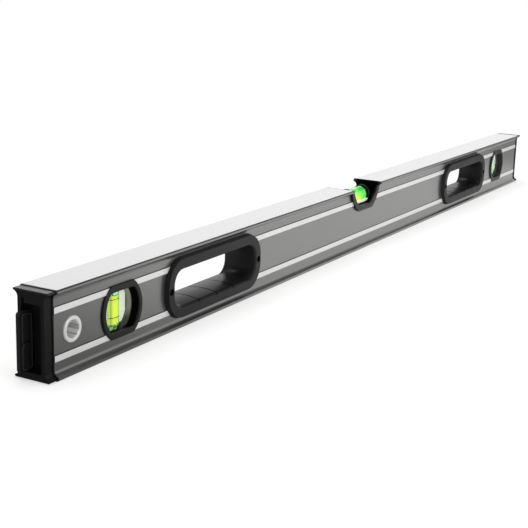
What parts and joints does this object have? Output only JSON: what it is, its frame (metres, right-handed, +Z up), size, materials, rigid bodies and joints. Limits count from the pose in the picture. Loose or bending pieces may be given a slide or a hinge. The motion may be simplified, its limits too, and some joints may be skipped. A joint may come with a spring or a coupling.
{
  "type": "box beam level",
  "caption": "Straight hollow aluminium box beam level with a centre vial in the top edge, plumb vials near the ends, lined hand holes, a hanging hole and rubber end bumpers.",
  "frame": {"origin": "middle of the bottom measuring face", "axes": "+X along the beam away from the end with the hanging hole, -Y out of the front face, +Z up"},
  "size_m": [0.924, 0.0296, 0.059],
  "materials": {
    "painted_beam": "semi-gloss metallic grey paint, with milled bare faces and stripes",
    "cap_plastic": "fine satin black",
    "bumper_rubber": "matt black",
    "eyelet_metal": "bright turned",
    "grip_plastic": "soft satin black",
    "screw_steel": "black oxide",
    "bezel_plastic": "smooth black",
    "clear_acrylic": "polished clear",
    "vial_liquid": "bright green dyed liquid",
    "ring_black": "satin black",
    "white_plastic": "smooth white"
  },
  "bodies": {
    "root": {"beam": "painted_beam", "end_cap_left": "cap_plastic", "end_cap_right": "cap_plastic", "end_bumper_left": "bumper_rubber", "end_bumper_right": "bumper_rubber", "hanging_eyelet": "eyelet_metal", "grip_left_front": "grip_plastic", "grip_left_back": "grip_plastic", "grip_left_screws": "screw_steel", "plumb_left_front_bezel": "bezel_plastic", "plumb_left_back_bezel": "bezel_plastic", "plumb_left_block": "clear_acrylic", "plumb_left_liquid": "vial_liquid", "plumb_left_rings": "ring_black", "plumb_left_plug": "ring_black", "plumb_left_reflector": "white_plastic", "grip_right_front": "grip_plastic", "grip_right_back": "grip_plastic", "grip_right_screws": "screw_steel", "plumb_right_front_bezel": "bezel_plastic", "plumb_right_back_bezel": "bezel_plastic", "plumb_right_block": "clear_acrylic", "plumb_right_liquid": "vial_liquid", "plumb_right_rings": "ring_black", "plumb_right_plug": "ring_black", "plumb_right_reflector": "white_plastic", "centre_saddle": "bezel_plastic", "centre_front_bezel": "bezel_plastic", "centre_back_bezel": "bezel_plastic", "centre_barrel": "clear_acrylic", "centre_liquid": "vial_liquid", "centre_rings": "ring_black", "centre_plug": "ring_black", "centre_end_discs": "ring_black", "centre_reflector": "white_plastic"}
  },
  "joints": []
}
